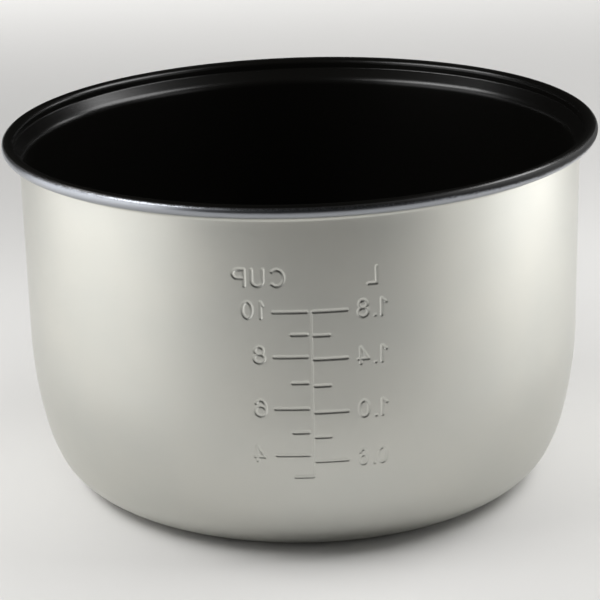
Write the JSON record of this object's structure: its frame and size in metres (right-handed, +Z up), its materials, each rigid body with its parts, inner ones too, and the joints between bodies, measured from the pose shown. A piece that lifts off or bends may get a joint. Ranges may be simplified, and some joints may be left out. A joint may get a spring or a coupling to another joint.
{
  "type": "rice cooker inner pot",
  "caption": "Round drawn aluminium cooking pot with a rolled rim, rounded foot, non-stick lining over its inside and rim, and pressed cup and litre marks.",
  "frame": {"origin": "centre of the flat base, on the surface the pot stands on", "axes": "+Z up along the pot's axis, -Y towards the side with the scale marks, +X to the right of someone facing that side"},
  "size_m": [0.226, 0.226, 0.138],
  "materials": {
    "satin_aluminium": "fine satin, turned around the pot's axis; rim bead left brighter",
    "nonstick_coating": "black fluoropolymer coat, semi-matt"
  },
  "bodies": {
    "root": {"pot_shell": "satin_aluminium", "nonstick_lining": "nonstick_coating"}
  },
  "joints": []
}
